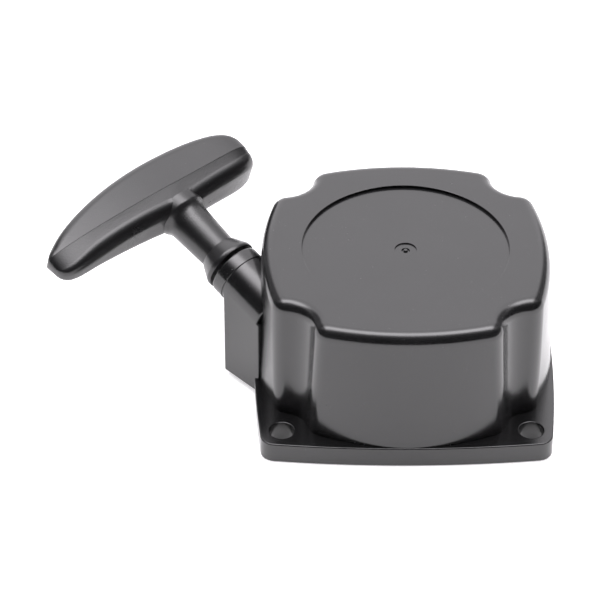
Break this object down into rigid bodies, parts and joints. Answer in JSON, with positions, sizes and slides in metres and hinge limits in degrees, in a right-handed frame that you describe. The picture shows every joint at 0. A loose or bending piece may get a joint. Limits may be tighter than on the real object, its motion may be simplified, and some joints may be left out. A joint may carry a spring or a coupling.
{
  "type": "recoil starter",
  "caption": "Small engine recoil starter: square moulded housing with scooped bolt corners, angled rope outlet and T-grip; sprung rope reel with pawls inside.",
  "frame": {"origin": "centre of the footprint of the whole object, on the plane of the mounting face", "axes": "+Z is the crank axis, away from the engine; +X runs from the grip's side to the far side of the housing, parallel to two flange sides"},
  "size_m": [0.134, 0.0868, 0.0476],
  "materials": {
    "black_plastic": "fine moulded grain, semi-gloss",
    "grey_plastic": "smooth nylon",
    "steel": "zinc plated",
    "spring_steel": "blued strip and wire",
    "brass": "turned",
    "rope": "braided nylon"
  },
  "bodies": {
    "housing": {"housing": "black_plastic", "rope_guide": "steel", "post_insert": "brass", "mainspring": "spring_steel", "spring_cover": "steel", "cover_screw_1": "steel", "cover_screw_2": "steel", "cover_screw_3": "steel", "friction_spring": "spring_steel", "thrust_washer": "steel", "centre_screw": "steel", "rope_lead": "rope"},
    "reel": {"reel": "grey_plastic", "rope_windings": "rope", "rope_knot_reel": "rope", "pawl_spring_1": "spring_steel", "pawl_spring_2": "spring_steel"},
    "ratchet_guide": {"ratchet_guide": "grey_plastic"},
    "pawl_1": {"pawl_1": "steel"},
    "pawl_2": {"pawl_2": "steel"},
    "grip": {"grip": "black_plastic", "rope_knot_grip": "rope"}
  },
  "joints": [
    {"name": "grip_pull", "type": "slide", "parent": "housing", "child": "grip", "axis": [-0.6497, 0.6967, 0.304], "range_m": [0, 0.68], "stiffness_N_per_m": 15, "springref_m": -0.4, "deforming": ["rope_lead"]},
    {"name": "reel_spin", "type": "hinge", "parent": "housing", "child": "reel", "pos_m": [0.02701, -0.00338, 0.022], "axis": [0, 0, -1], "range_deg": [0, 1326], "deforming": ["mainspring"]},
    {"name": "guide_turn", "type": "hinge", "parent": "reel", "child": "ratchet_guide", "pos_m": [0.02701, -0.00338, 0.0081], "axis": [0, 0, 1], "range_deg": [0, 35], "stiffness_Nm_per_rad": 0.00002},
    {"name": "pawl_1_swing", "type": "hinge", "parent": "reel", "child": "pawl_1", "pos_m": [0.02701, 0.00962, 0.0117], "axis": [0, 0, 1], "range_deg": [0, 30.1], "deforming": ["pawl_spring_1"]},
    {"name": "pawl_2_swing", "type": "hinge", "parent": "reel", "child": "pawl_2", "pos_m": [0.02701, -0.01638, 0.0117], "axis": [0, 0, 1], "range_deg": [0, 30.1], "deforming": ["pawl_spring_2"]}
  ],
  "couplings": [
    {"joint": "reel_spin", "follows": "grip_pull", "rad_per_m": 34.014},
    {"joint": "pawl_1_swing", "follows": "guide_turn", "ratio": 0.8571},
    {"joint": "pawl_2_swing", "follows": "guide_turn", "ratio": 0.8571}
  ]
}
